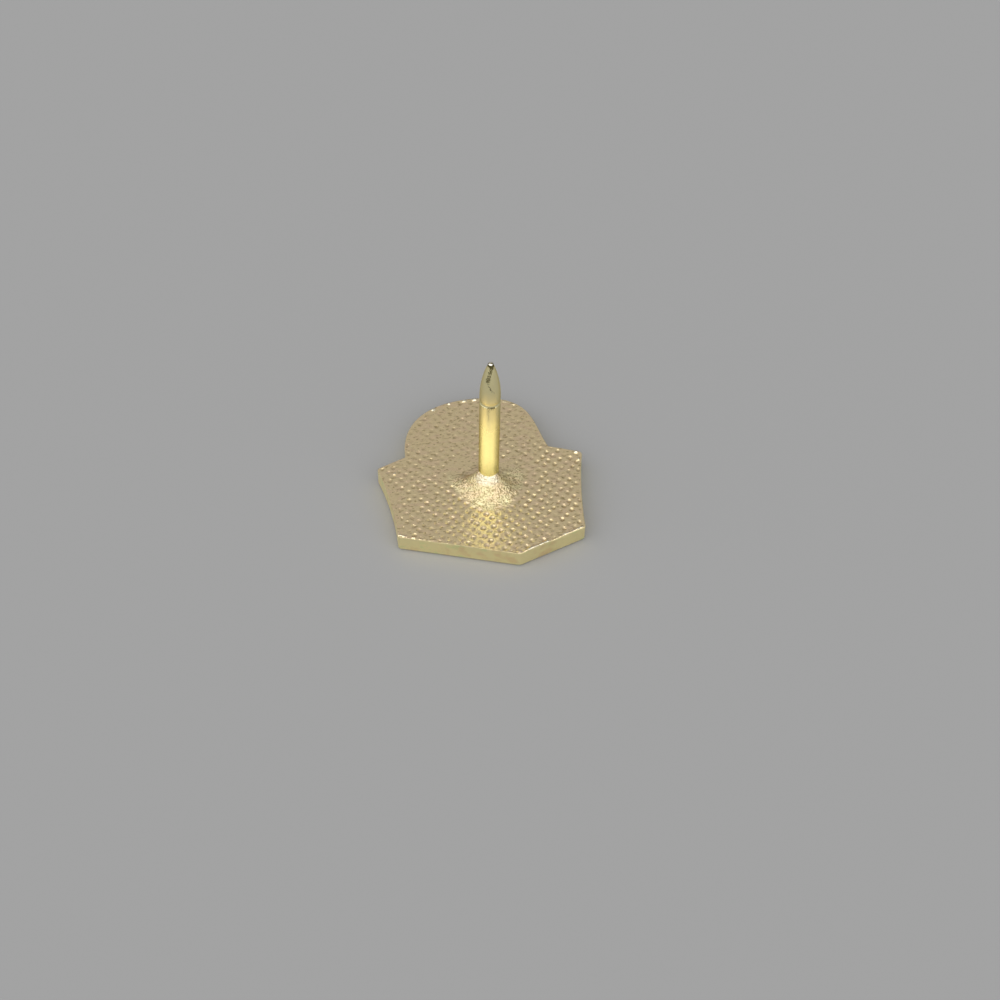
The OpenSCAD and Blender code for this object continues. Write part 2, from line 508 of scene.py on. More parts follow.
@dataclass(frozen=True)
class Wave:
    """A wave round the post: its height, how often it rises in one turn, and its angle at the start."""

    height: float
    count: float
    start: float = 0.0

    def at(self, angle: Array) -> Array:
        """The wave at each angle: its height times the sine of count times the angle plus the start."""
        return self.height * np.sin(self.count * angle + self.start)


@dataclass(frozen=True)
class Knurl:
    """The knurling of the back: round pits on a square lattice turned by 45 degrees, and flat land."""

    pitch: float = 0.4695
    turn: float = 45.0
    first_along: float = 0.592
    first_across: float = 0.062
    half_stations: tuple[float, ...] = (0.04, 0.12, 0.20, 0.27, 0.34, 0.40)
    lip: float = 0.42
    bowl: float = 2.0
    soft: float = 2.0
    squareness: float = 2.3
    depth: float = 0.053
    jitter: float = 0.035
    uneven: float = 0.4
    lean: float = 0.6
    seed: int = 41
    draws: int = 5
    table: int = 96

    def lattice(self, first: float, reach: float) -> Array:
        """The lattice lines across one direction, out to the reach on both sides.

        Args:
            first: Where the first pit's middle lies, in pitches.
            reach: How far the lines go on both sides, mm.

        Returns:
            The lines' places, mm.
        """
        half = np.array(self.half_stations)
        cells = np.arange(-math.ceil(reach / self.pitch), math.ceil(reach / self.pitch) + 1)
        return ((cells[:, None] + first + np.concatenate([-half[::-1], half])) * self.pitch).ravel()

    def sunk(self, points: Array) -> Array:
        """How deep each point lies in its pit, as a share of the full depth.

        A pit is a bowl: its depth is (1 - ρᵃ)ᵇ, where ρ is 0 at its middle and 1 at its lip. The distance
        from its middle is the n-th root of |u|ⁿ + |v|ⁿ, which makes it a square with well rounded corners.
        Each pit is a little off its place and depth, and its floor leans a little to one side.

        Args:
            points: Points in the plane, from the post's axis, turned into the lattice's directions.

        Returns:
            0 on the land and about 1 on the pits' floors.
        """
        u = points[:, 0] / self.pitch - self.first_along
        v = points[:, 1] / self.pitch - self.first_across
        i, j = np.rint(u).astype(int), np.rint(v).astype(int)
        draws = np.random.default_rng(self.seed).uniform(-1.0, 1.0, (self.draws, self.table, self.table))
        off_u, off_v, off_depth, lean_u, lean_v = draws[:, i % self.table, j % self.table]
        n = self.squareness
        a, b = u - i - self.jitter * off_u, v - j - self.jitter * off_v
        away = (np.abs(a) ** n + np.abs(b) ** n) ** (1.0 / n) / self.lip
        bowl = (1.0 - np.clip(away, 0.0, 1.0) ** self.bowl) ** self.soft
        return bowl * (1.0 + self.uneven * off_depth + self.lean * (lean_u * a + lean_v * b) / self.lip)


@dataclass(frozen=True)
class Rolling:
    """How hard the knurling was rolled in: full at the right and below, shallow under the handle.

    Each loss is a share of the depth that goes as its change comes in. The places are in the part's frame.
    """

    dome: Ramp = Ramp(0.8, 2.4)
    dome_loss: float = 0.4
    upper: Ramp = Ramp(-1.5, 2.0)
    upper_loss: float = 0.12
    left: Ramp = Ramp(1.0, -3.0)
    left_loss: float = 0.14
    border: float = 0.05
    border_fade: float = 0.09
    corner_left: Ramp = Ramp(-4.2, -0.8)
    corner_low: Ramp = Ramp(1.0, -1.5)
    corner_border: float = 0.24

    def strength(self, points: Array, depth_in: Array) -> Array:
        """The pits' depth as a share of the full one.

        It is 1, less a share of each eased change: up the handle, to the upper left and to the left. It fades
        out over a plain border, which is wider at the lower left.

        Args:
            points: Points in the part's frame.
            depth_in: Their distances inside the land's edge.

        Returns:
            The shares, 0 on the plain border.
        """
        x, y = points.T
        dome, left = self.dome.at(y), self.left.at(x)
        lost = (self.upper_loss * self.upper.at(y) + self.left_loss) * left * (1.0 - dome)
        border = self.border + self.corner_border * self.corner_left.at(x) * self.corner_low.at(y)
        return (1.0 - self.dome_loss * dome - lost) * edged(depth_in - border, self.border_fade)


@dataclass(frozen=True)
class Solder:
    """The solder that has run out round the foot of the post."""

    height: float = 1.2
    radius: float = 2.1
    curve: float = 1.8
    post_r: float = 0.6
    run_out: tuple[Wave, ...] = (Wave(0.05, 2.0, 0.6), Wave(0.03, 5.0, 2.0))
    lump: Grain = Grain(0.24, 5)
    speck: Grain = Grain(0.09, 6, 256)
    grain_start: float = 50.0
    lump_height: float = 0.03
    speck_height: float = 0.02
    grain_in: Ramp = Ramp(0.9, 0.5)
    grain_out: Ramp = Ramp(2.3, -0.5)
    grain_least: float = 0.15
    cover: float = 2.1
    cover_fade: float = 0.35
    cover_wave: Wave = Wave(0.12, 3.0)
    tongue: float = 0.7
    tongue_at: float = 2.35
    tongue_width: float = 0.5
    behind: float = 0.5
    behind_height: float = 0.25
    # Where the painted highlight on the solder lies: its radius and the width of its edge.
    white_r: float = 0.93
    white_fade: float = 0.35
    front_side: Point = (-0.32, -0.9474)
    high: Ramp = Ramp(-0.35, 0.7)
    # Which side of the solder is painted whiter as painted highlight.
    bare: Ramp = Ramp(0.3, 0.5)
    smooth_side: Point = (-0.1, 0.995)
    smooth: Ramp = Ramp(0.2, 0.4)

    def rise(self, points: Array) -> Array:
        """Height of the solder above the back.

        The flank is a hollow fall: the height times a power of the share of the way in from the run-out
        radius to the post. It is lower and runs out sooner behind the post. Lumps and specks lie on it, least
        against the post.

        Args:
            points: Points in the plane, from the post's axis.

        Returns:
            The heights, 0 outside the solder.
        """
        r, angle = self._polar(points)
        front = self._towards(points, self.front_side)
        uneven = 1.0 + sum(wave.at(angle) for wave in self.run_out)
        r = self.post_r + (r - self.post_r) * (uneven + self.behind * ease(-front))
        way_in = np.clip((self.radius - r) / (self.radius - self.post_r), 0.0, 1.0)
        near = at_least(self.grain_least, self.grain_in.at(r)) * self.grain_out.at(r)
        x, y = (points + self.grain_start).T
        grain = self.lump_height * self.lump.at(x, y) + self.speck_height * self.speck.at(x, y)
        share = at_least(self.behind_height, self.high.at(front))
        return self.height * share * way_in**self.curve + grain * near

    def covered(self, points: Array) -> Array:
        """How much of the knurling the solder has filled: 1 near the post, 0 outside an uneven edge.

        The edge is a circle with a wave on it and a tongue that has run out to the upper left.

        Args:
            points: Points in the plane, from the post's axis.

        Returns:
            The shares.
        """
        r, angle = self._polar(points)
        tongue = self.tongue * np.exp(-(((angle - self.tongue_at) / self.tongue_width) ** 2))
        return edged(self.cover + tongue + self.cover_wave.at(angle) - r, self.cover_fade)

    def white(self, points: Array) -> Array:
        """Painted highlight on the solder, painted whiter: 1 against the post's front, 0 behind the post and
        farther out.
        """
        front = self.bare.at(self._towards(points, self.front_side))
        return edged(self.white_r - self._polar(points)[0], self.white_fade) * front

    def grained(self, points: Array) -> Array:
        """How grainy the solder is: 1 all round but for a smooth film behind the post."""
        return 1.0 - self.smooth.at(self._towards(points, self.smooth_side))

    def _polar(self, points: Array) -> tuple[Array, Array]:
        """Each point's distance from the post's axis and its angle round it."""
        return np.linalg.norm(points, axis=1), np.arctan2(points[:, 1], points[:, 0])

    def _towards(self, points: Array, side: Point) -> Array:
        """Cosine of the angle between each point's direction and a side: 1 on that side, -1 on the other."""
        return points @ np.array(side) / np.maximum(np.linalg.norm(points, axis=1), TINY)


@dataclass(frozen=True)
class Front:
    """The front's relief: sunk fields with a plain basket weave between raised bars, and a plain handle."""

    outline: Outline
    depth: float = 0.3
    border_w: float = 0.55
    handle_w: float = 1.0
    bar_w: float = 0.6
    draft: float = 0.14
    strand: float = 0.11
    weaver: float = 0.42
    stake: float = 0.66
    weaver_least: float = 0.25
    stake_height: float = 0.62

    def field_of(self, points: Array) -> Array:
        """Which field each point belongs to: the lines between the outline's corners divide them.

        Args:
            points: Points in the part's frame.

        Returns:
            For each point, the place of its Field in the Enum.
        """
        o = self.outline
        p = points + np.array(o.box_centre)
        past_right = self._left_of(p, o.right_tip, o.far_top) < 0
        past_left = self._left_of(p, o.far_top, o.left_tip) < 0
        above_left = self._left_of(p, o.left_tip, o.near_top) > 0
        above_right = self._left_of(p, o.near_top, o.right_tip) > 0
        left = self._left_of(p, o.near_foot, o.near_top) > 0
        names = list(Field)
        found = np.where(left, names.index(Field.LEFT), names.index(Field.RIGHT))
        found = np.where(above_left & above_right, names.index(Field.LID), found)
        return np.where(past_right | past_left, names.index(Field.OPENING), found)

    def _left_of(self, p: Array, a: Point, b: Point) -> Array:
        """Positive where p lies left of the line from a to b."""
        return (b[0] - a[0]) * (p[:, 1] - a[1]) - (b[1] - a[1]) * (p[:, 0] - a[0])

    def _bulge(self, place: Array) -> Array:
        """A half circle over each whole step: the root of 1 - (2t - 1)², where t is the share of the step."""
        return np.sqrt(np.clip(1.0 - (2.0 * (place - np.floor(place)) - 1.0) ** 2, 0.0, 1.0))

    def weave(self, points: Array, which: Array) -> Array:
        """Height of the woven strands over a field's floor.

        Across each weaver the height is a half circle. Along it, it rises over one stake and dips under the
        next, half a wave later in every other row. The stakes stand in between as lower half circles.

        Args:
            points: Points in the part's frame.
            which: The field of each point.

        Returns:
            The strands' heights.
        """
        o = self.outline
        p = points + np.array(o.box_centre)
        ways = {
            Field.LEFT: (o.near_foot, o.left_foot, o.near_top),
            Field.RIGHT: (o.near_foot, o.right_foot, o.near_top),
            Field.LID: (o.near_top, o.left_tip, o.right_tip),
        }
        height = np.zeros(len(p))
        for part, way in ways.items():
            origin, first, second = (np.array(corner) for corner in way)
            to_first, to_second = first - origin, second - origin
            share = (p - origin) @ np.linalg.inv(np.stack([to_first, to_second]))
            s = share[:, 0] * np.linalg.norm(to_first) / self.stake
            t = share[:, 1] * np.linalg.norm(to_second) / self.weaver
            over = 0.5 + 0.5 * np.cos(math.pi * (s + np.floor(t)))
            weaver = self._bulge(t) * at_least(self.weaver_least, over)
            stake = self.stake_height * self._bulge(s + 0.5) * (1.0 - over)
            woven = np.maximum(weaver, stake)
            height = np.where(which == list(Field).index(part), woven * self.strand, height)
        return height

    def height(self, points: Array, depth_in: Array) -> Array:
        """Height of the front's surface above what the pin lies on.

        It is 0 on the border, the bars and the handle, and eases down into the fields, where the weave lies.

        Args:
            points: Points in the part's frame.
            depth_in: Their distances inside the outline.

        Returns:
            The heights.
        """
        o = self.outline
        which = self.field_of(points)
        bars = [
            (o.left_tip, o.near_top),
            (o.near_top, o.right_tip),
            (o.right_tip, o.far_top),
            (o.far_top, o.left_tip),
            (o.near_top, o.near_foot),
        ]
        from_bars = np.min([line_distance(points, o.place(a), o.place(b)) for a, b in bars], axis=0)
        opening = which == list(Field).index(Field.OPENING)
        rim = depth_in - np.where(opening, self.handle_w, self.border_w)
        inward = np.minimum(rim, from_bars - self.bar_w / 2.0)
        woven = self.weave(points, which) * Ramp(self.draft, self.draft).at(inward)
        return self.depth * Ramp(0.0, self.draft).at(inward) - woven


@dataclass(frozen=True)
class Ridge:
    """One ridge of raised metal: the ends of its middle line, its half width and its height."""

    start: Point
    end: Point
    half: float
    height: float


@dataclass(frozen=True)
class Rim:
    """The ridges and beads along the cut edge of the back, their tops painted whiter as painted highlight for
    their glints. A bead is a very short ridge.
    """

    ridges: tuple[Ridge, ...] = (
        Ridge((-2.27, 5.6), (-2.2, 5.62), 0.17, 0.08),
        Ridge((-1.23, 5.98), (-1.2, 5.99), 0.14, 0.068),
        Ridge((-0.32, 6.1), (-0.22, 6.11), 0.15, 0.072),
        Ridge((0.0, 6.11), (0.02, 6.11), 0.08, 0.028),
        Ridge((0.34, 6.12), (0.42, 6.12), 0.17, 0.08),
        Ridge((2.1, 5.77), (2.75, 5.41), 0.09, 0.034),
        Ridge((5.81, 1.03), (5.86, 1.03), 0.17, 0.08),
        Ridge((5.87, 0.5), (5.9, 0.42), 0.12, 0.055),
        Ridge((-5.19, 0.76), (-5.17, 0.77), 0.12, 0.055),
        Ridge((-5.48, -3.9), (-5.05, -4.09), 0.1, 0.05),
        Ridge((-4.72, -4.2), (-4.6, -4.24), 0.11, 0.05),
        Ridge((-4.31, -4.33), (-4.02, -4.42), 0.09, 0.04),
        Ridge((-3.82, -4.49), (-3.28, -4.66), 0.075, 0.028),
        Ridge((1.18, -6.1), (1.7, -6.01), 0.1, 0.045),
        Ridge((1.71, -6.0), (2.98, -5.545), 0.125, 0.075),
        Ridge((2.98, -5.545), (3.88, -5.222), 0.08, 0.032),
        Ridge((3.88, -5.222), (5.18, -4.75), 0.085, 0.055),
    )
    # Heights over which the ridges' tops are painted whiter as painted highlight.
    glint_rise: Ramp = Ramp(0.02, 0.03)

    def rise(self, points: Array) -> Array:
        """Height of the ridges: each falls smoothly from its middle line to nothing at its half width."""
        rises = [
            ridge.height * ease(1.0 - line_distance(points, ridge.start, ridge.end) / ridge.half)
            for ridge in self.ridges
        ]
        return np.max(rises, axis=0)

    def bright(self, raised: Array) -> Array:
        """Painted highlight on the raised metal, the glints of the ridges and beads, from how high it stands.
        """
        return self.glint_rise.at(raised)


@dataclass(frozen=True)
class EdgeRing:
    """One ring over the edge of the back: its inset, its height from the back, and its shares of the burr.

    The ridged share is 1 where the rim's ridges stand on it.
    """

    inset: float
    drop: float
    burr: float
    ridged: float


@dataclass(frozen=True)
class Plate:
    """The struck plate: knurled back with the solder, cut wall, rounded front edge and the front's relief."""

    outline: Outline = Outline()
    knurl: Knurl = Knurl()
    rolling: Rolling = Rolling()
    solder: Solder = Solder()
    rim: Rim = Rim()
    thickness: float = 1.2
    edge_r: float = 0.25
    edge_steps: int = 6
    post_at: Point = POST_AT
    land_inset: float = 0.06
    front_inset: float = 0.3
    back_reach: float = 10.5
    front_reach: float = 6.6
    front_cell: float = 0.072
    rim_clear: float = 0.02
    burr: Grain = Grain(0.22, 11)
    burr_height: float = 0.006
    sharp_least: float = 0.4
    sharp_side: Ramp = Ramp(0.8, 0.8)
    wall: Grain = Grain(0.25, 12)
    wall_row: float = 3.0
    wall_depth: float = 0.006
    wall_heights: tuple[float, ...] = (1.0, 0.8, 0.6, 0.42)
    nudge: float = 0.01
    top_rings: tuple[EdgeRing, ...] = (
        EdgeRing(land_inset, 0.0, 0.0, 1.0),
        EdgeRing(0.035, 0.0, 1.0, 1.0),
        EdgeRing(0.012, -0.012, 0.6, 1.0),
        EdgeRing(0.0, -0.04, 0.0, 0.0),
    )

    def _back(self, maker: MeshMaker) -> None:
        """Adds the back's lattice points and faces.

        The height is that of the land and the solder, less the pits, plus the ridges. The triangles count on
        into the first ring, which is added next.

        Args:
            maker: Gathers the vertices and faces.
        """
        middle = np.array(self.post_at)
        sheet = Infill(
            self.outline.inset(self.land_inset) - middle,
            self.knurl.lattice(self.knurl.first_along, self.back_reach),
            self.knurl.lattice(self.knurl.first_across, self.back_reach),
            self.knurl.turn,
            self.rim_clear,
        )
        points, depth_in, quads, triangles = sheet.build()
        placed = points + middle
        covered = self.solder.covered(points)
        raised = self.rim.rise(placed)
        strength = self.rolling.strength(placed, depth_in)
        sunk = self.knurl.sunk(turned(points, -self.knurl.turn)) * strength * (1.0 - covered)
        z = self.thickness + self.solder.rise(points) - self.knurl.depth * sunk + raised
        # Pits are painted darker with their depth as painted shade; the solder's front and the ridges' glints
        # are painted whiter as painted highlight.
        first = maker.add(
            np.column_stack([placed, z]),
            pit=sunk,
            solder=covered * self.solder.grained(points),
            white=np.maximum(self.solder.white(points), self.rim.bright(raised)),
            wall=0.0,
        )
        maker.quads.append(quads + first)
        maker.triangles.append(triangles + first)

    def _at_height(self, loop: Array, z: float) -> Array:
        """A flat loop set at a height."""
        return np.column_stack([loop, np.full(len(loop), z)])

    def _rings(self, maker: MeshMaker) -> tuple[int, int]:
        """Adds the rings from the land over the edge, down the wall and round the front edge.

        Each ring is the outline moved in by an amount and set at a height. The wall's rings wave in and out a
        little along the outline, and the edge of the back stands up as an uneven burr, sharper at the right.

        Args:
            maker: Gathers the vertices.

        Returns:
            The number of the first ring's first vertex and how many rings there are.
        """
        o = self.outline
        outer = o.loop()
        step = np.linalg.norm(np.roll(outer, -1, axis=0) - outer, axis=1)
        run = np.concatenate([[0.0], np.cumsum(step)[:-1]])
        still = np.zeros(len(run))
        burr = self.burr_height * (1.0 + self.burr.at(run, still))
        sharp = at_least(self.sharp_least, self.sharp_side.at(outer[:, 0]))
        first = maker.count
        for ring in self.top_rings:
            inner = o.inset(ring.inset)
            loop = inner if ring.burr == 0.0 else outer + (inner - outer) * sharp[:, None]
            raised = self.rim.rise(loop) * ring.ridged
            # The ridges' tops are painted whiter as painted highlight for their glints.
            bright = self.rim.bright(raised)
            z = self.thickness + ring.drop * sharp + ring.burr * burr + raised
            side = float(ring.drop < 0.0) * (1.0 - bright)
            maker.add(np.column_stack([loop, z]), pit=0.0, solder=0.0, white=bright, wall=side)
        wave = self.wall_depth * (1.0 + self.wall.at(run, still + self.wall_row))
        bare = o.inset(0.0)
        waved = bare + (o.inset(self.nudge) - bare) / self.nudge * wave[:, None]
        below = [self._at_height(waved, z) for z in self.wall_heights]
        for a in np.linspace(0.0, math.pi / 2.0, self.edge_steps + 1):
            inset = self.edge_r * (1.0 - math.cos(a))
            below.append(self._at_height(o.inset(inset, inset), self.edge_r * (1.0 - math.sin(a))))
        below.append(self._at_height(o.inset(self.front_inset, self.edge_r), 0.0))
        for loop in below:
            maker.add(loop, **WALL_MARKS)
        return first, len(self.top_rings) + len(below)

    def build(self) -> bpy.types.Object:
        """Makes the plate's closed mesh: back, rings, front.

        Returns:
            The plate.
        """
        maker = MeshMaker("struck_plate")
        self._back(maker)
        first, rings = self._rings(maker)
        n = len(self.outline.loop())
        k = np.arange(rings - 1)[:, None] * n
        i = np.arange(n)[None, :]
        after = (i + 1) % n
        quads = np.stack([k + i, k + n + i, k + n + after, k + after], -1).reshape(-1, 4)
        maker.quads.append(quads + first)
        front_ring = self.outline.inset(self.front_inset, self.edge_r)
        reach = np.arange(-self.front_reach, self.front_reach, self.front_cell)
        points, depth_in, cells, triangles = Infill(front_ring, reach, reach, 0.0, self.rim_clear).build()
        height = Front(self.outline).height(points, depth_in + self.front_inset)
        last_ring = first + (rings - 1) * n
        base = maker.add(np.column_stack([points, height]), **WALL_MARKS)
        maker.quads.append(cells[:, ::-1] + base)
        count = len(points)
        on_ring = triangles >= count
        maker.triangles.append(np.where(on_ring, triangles - count + last_ring, triangles + base)[:, ::-1])
        return maker.build()


@dataclass(frozen=True)
class StreakStop:
    """One place on the dark patch's middle line: height, angle from the front, half width and strength."""

    height: float
    angle: float
    half: float
    level: float


@dataclass(frozen=True)
class Marks:
    """The dark marks on the post, with painted shade on the tip's ball, a painted shadow under the groove and a
    painted dark reflection below it. Heights are above the plate's back and angles are from the lit front.
    """

    front: float = -99.9
    patch: tuple[StreakStop, ...] = (
        StreakStop(8.15, 0.45, 0.06, 0.40),
        StreakStop(8.25, 0.30, 0.06, 0.44),
        StreakStop(8.4, 0.1, 0.06, 0.46),
        StreakStop(8.65, -0.15, 0.06, 0.48),
        StreakStop(8.82, -0.33, 0.10, 0.62),
        StreakStop(9.0, -0.33, 0.13, 0.72),
        StreakStop(9.4, -0.16, 0.10, 0.62),
        StreakStop(9.6, 0.0, 0.10, 0.66),
        StreakStop(9.8, 0.3, 0.13, 0.9),
    )
    patch_past: float = 0.05
    patch_edge: float = 1.5
    girth: tuple[Point, ...] = ((7.4, 0.6), (8.4, 0.53), (9.1, 0.4), (9.88, 0.17))
    # Painted shade on the tip's ball, with a painted highlight spot left clear in front and less shade behind.
    ball: Ramp = Ramp(9.78, 0.1)
    highlight_spot_at: float = 9.99
    highlight_spot_half: float = 0.035
    highlight_spot_side: Ramp = Ramp(0.1, 0.4)
    back_share: float = 0.25
    back_side: Ramp = Ramp(-0.7, 0.8)
    # A painted shadow along the groove's lower edge.
    groove_shadow_at: float = 7.0
    groove_shadow_half: float = 0.045
    groove_shadow_turn: float = 0.12
    groove_shadow_reach: float = 0.45
    groove_shadow_fade: float = 0.15
    groove_shadow_level: float = 0.9
    # A faint painted dark reflection down the front below the groove.
    dark_reflection_turn: float = -0.1
    dark_reflection_half: float = 0.07
    dark_reflection: Ramp = Ramp(5.2, 1.2)
    dark_reflection_fade: float = 0.1
    dark_reflection_level: float = 0.42

    def _hump(self, off: Array, half: float) -> Array:
        """A smooth hump: e to the power of minus the square of the distance over the half width."""
        return np.exp(-((off / half) ** 2))

    def strength(self, h: Array, angle: Array) -> Array:
        """Strength of the marks.

        A patch winds down the front of the point and thins to a faint line. The tip's ball is painted dark in
        front as painted shade, but for a small painted highlight. A short painted shadow follows the groove's
        lower edge, and a faint painted dark reflection runs down below it.

        Args:
            h: Height above the plate's back.
            angle: Angle round the axis.

        Returns:
            The strength, between 0 and 1.
        """
        off = (angle - math.radians(self.front) + math.pi) % (2.0 * math.pi) - math.pi
        lit = np.cos(off)
        path_h, path_a, half, level = np.array([astuple(stop) for stop in self.patch]).T
        r = np.interp(h, *np.array(self.girth).T)
        away = np.abs(off - np.interp(h, path_h, path_a)) * r / np.interp(h, path_h, half)
        inside = (h > path_h[0]) & (h < path_h[-1] + self.patch_past)
        patch = ease(self.patch_edge - away) * np.interp(h, path_h, level) * inside
        # The ball is painted dark as painted shade, but for a spot left for the painted highlight.
        highlight_spot = self._hump(h - self.highlight_spot_at, self.highlight_spot_half) * self.highlight_spot_side.at(lit)
        ball = self.ball.at(h) * (1.0 - highlight_spot) * at_least(self.back_share, self.back_side.at(lit))
        # A painted shadow along the groove's lower edge.
        line = ease((self.groove_shadow_reach - np.abs(off - self.groove_shadow_turn)) / self.groove_shadow_fade) * self.groove_shadow_level
        line = line * self._hump(h - self.groove_shadow_at, self.groove_shadow_half)
        # A faint painted dark reflection down the front below the groove.
        dark_reflection = self._hump((off - self.dark_reflection_turn) * r, self.dark_reflection_half) * self.dark_reflection_level
        dark_reflection = dark_reflection * self.dark_reflection.at(h) * ease((self.groove_shadow_at - h) / self.dark_reflection_fade)
        return np.max([patch, ball, line, dark_reflection], axis=0)


@dataclass(frozen=True)
class Post:
    """The nail-type post: straight shaft, shallow clutch groove, bullet-shaped point with a round tip."""

    at: Point = POST_AT
    base: float = 1.2
    root: float = 0.4
    radius: float = 0.6
    height: float = 10.05
    point_h: float = 2.65
    ball_r: float = 0.17
    groove_drop: float = 0.25
    groove_w: float = 0.3
    groove_depth: float = 0.04
    groove_gap: float = 0.03
    shaft_from: float = 0.9
    sides: int = 112
    shaft_rings: int = 34
    groove_rings: int = 13
    neck_rings: int = 3
    point_rings: int = 61
    ball_rings: int = 9
    marks: Marks = Marks()

    def profile(self) -> Array:
        """Radius and height of each ring, from the root up.

        The shaft is straight. The groove is half a sine wave. The point is the arc that leaves the shaft
        straight up and narrows to the tip's ball, which is a quarter circle.

        Returns:
            Rows of radius and height above the plate's back.
        """
        shaft_top = self.height - self.point_h
        ball_z = self.height - self.ball_r
        run = ball_z - shaft_top
        narrow = self.radius - self.ball_r
        arc_r = (run * run + narrow * narrow) / 2.0 / narrow
        groove_h = shaft_top - self.groove_drop
        groove_foot = groove_h - self.groove_w / 2.0 - self.groove_gap
        groove_head = groove_h + self.groove_w / 2.0 + self.groove_gap
        low = np.concatenate([[-self.root], np.linspace(self.shaft_from, groove_foot, self.shaft_rings)])
        upper = np.linspace(groove_head, shaft_top - self.groove_gap, self.neck_rings)
        a = np.linspace(0.0, math.pi, self.groove_rings)
        z = run * np.linspace(0.0, 1.0, self.point_rings)
        b = np.linspace(0.0, math.pi / 2.0, self.ball_rings + 2)[1:-1]
        parts = [
            (np.full(len(low), self.radius), low),
            (self.radius - self.groove_depth * np.sin(a), groove_h - self.groove_w / 2.0 * np.cos(a)),
            (np.full(len(upper), self.radius), upper),
            (self.radius - arc_r + np.sqrt(arc_r * arc_r - z * z), shaft_top + z),
            (self.ball_r * np.cos(b), ball_z + self.ball_r * np.sin(b)),
        ]
        return np.concatenate([np.column_stack(part) for part in parts])

    def build(self) -> bpy.types.Object:
        """Makes the post's closed mesh: the profile carried round the axis, with a point at each end.

        Returns:
            The post.
        """
        rows = self.profile()
        n = self.sides
        angle = 2.0 * math.pi * np.arange(n) / n
        r, h = rows[:, 0][:, None], rows[:, 1][:, None] + 0.0 * angle
        x = self.at[0] + r * np.cos(angle)
        y = self.at[1] + r * np.sin(angle)
        # The marks hold painted shade, a painted shadow and a painted dark reflection as well as the dark
        # patch.
        streak = self.marks.strength(h, np.broadcast_to(angle, h.shape))
        maker = MeshMaker("post")
        points = np.stack([x, y, self.base + h], -1).reshape(-1, 3)
        maker.add(points, streak=streak.ravel(), height=h.ravel())
        tip = maker.add(np.array([[*self.at, self.base + self.height]]), streak=0.0, height=self.height)
        foot = maker.add(np.array([[*self.at, self.base - self.root]]), streak=0.0, height=0.0)
        i = np.arange(n)
        after = (i + 1) % n
        k = np.arange(len(rows) - 1)[:, None] * n
        maker.quads.append(np.stack([k + i, k + after, k + n + after, k + n + i], -1).reshape(-1, 4))
        top = (len(rows) - 1) * n
        maker.triangles.append(np.stack([top + i, top + after, np.full(n, tip)], 1))
        maker.triangles.append(np.stack([after, i, np.full(n, foot)], 1))
        return maker.build()


class Wire:
    """A shader socket that adds Math nodes when it is reckoned with."""

    def __init__(self, shader: "Shader", socket: bpy.types.NodeSocket) -> None:
        """Keeps the socket and the shader that it belongs to."""
        self.shader = shader
        self.socket = socket

    def _math(self, operation: str, first: "Wire | float", second: "Wire | float") -> "Wire":
        """Adds one Math node on two values and gives its result."""
        return self.shader.wire("ShaderNodeMath", {"operation": operation}, {0: first, 1: second})

    def __add__(self, other: "Wire | float") -> "Wire":
        """Adds."""
        return self._math("ADD", self, other)

    def __radd__(self, other: float) -> "Wire":
        """Adds to a number."""
        return self._math("ADD", other, self)

    def __sub__(self, other: "Wire | float") -> "Wire":
        """Subtracts."""
        return self._math("SUBTRACT", self, other)

    def __rsub__(self, other: float) -> "Wire":
        """Subtracts from a number."""
        return self._math("SUBTRACT", other, self)

    def __mul__(self, other: "Wire | float") -> "Wire":
        """Multiplies."""
        return self._math("MULTIPLY", self, other)

    def __rmul__(self, other: float) -> "Wire":
        """Multiplies a number."""
        return self._math("MULTIPLY", other, self)

    def least(self, other: "Wire | float") -> "Wire":
        """The smaller of two values."""
        return self._math("MINIMUM", self, other)

    def centred(self, strength: float) -> "Wire":
        """Noise set about 0: less 0.5, which is its middle, and then times the strength."""
        return (self - 0.5) * strength

    def eased(self, span: Span) -> "Wire":
        """Goes smoothly from 0 at the span's first number to 1 at its second."""
        sockets = {"Value": self, "From Min": span[0], "From Max": span[1]}
        return self.shader.wire("ShaderNodeMapRange", {"interpolation_type": "SMOOTHSTEP"}, sockets)


